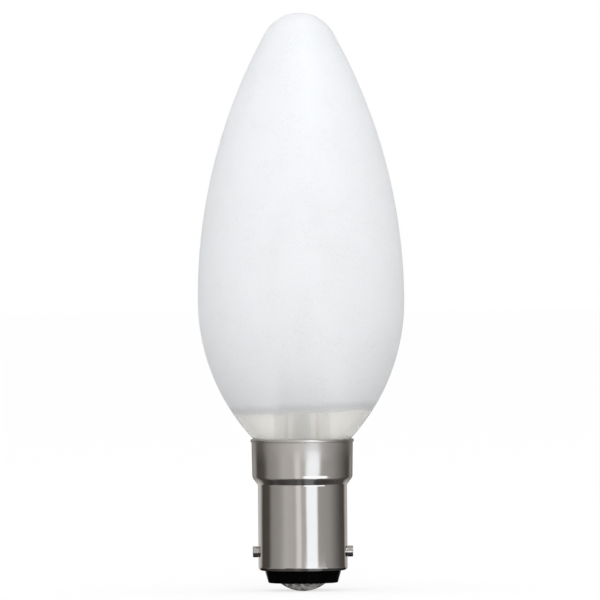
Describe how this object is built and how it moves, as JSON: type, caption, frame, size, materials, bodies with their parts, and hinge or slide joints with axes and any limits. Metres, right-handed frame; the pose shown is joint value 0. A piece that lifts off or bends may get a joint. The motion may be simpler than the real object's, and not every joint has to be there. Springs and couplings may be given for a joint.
{
  "type": "candle bulb",
  "caption": "Opal candle-shaped filament lamp with a small bayonet cap, two side pins and two soldered end contacts.",
  "frame": {"origin": "on the lamp's axis, level with the lowest point of the two end contacts", "axes": "+Z along the lamp's axis from the end contacts to the tip of the glass; the bayonet pins lie along X and the end contacts one behind the other along Y"},
  "size_m": [0.035, 0.035, 0.0979],
  "materials": {
    "opal_glass": "satin",
    "clear_glass": "gloss",
    "nickel_plate": "polished",
    "black_glass": "gloss",
    "solder": "satin",
    "contact_brass": "satin",
    "cement": "matte",
    "lead_copper": "satin",
    "molybdenum": "satin",
    "tungsten": "matte"
  },
  "bodies": {
    "root": {"cap_shell": "nickel_plate", "bayonet_pin_left": "nickel_plate", "bayonet_pin_right": "nickel_plate", "cap_insulator": "black_glass", "contact_plate_front": "contact_brass", "contact_plate_rear": "contact_brass", "contact_solder_front": "solder", "contact_solder_rear": "solder", "basing_cement": "cement", "glass_envelope": "opal_glass", "stem_flare": "clear_glass", "exhaust_tube": "clear_glass", "glass_arbor": "clear_glass", "lead_wire_left": "lead_copper", "lead_wire_right": "lead_copper", "filament_support_left": "molybdenum", "filament_support_right": "molybdenum", "filament": "tungsten"}
  },
  "joints": []
}
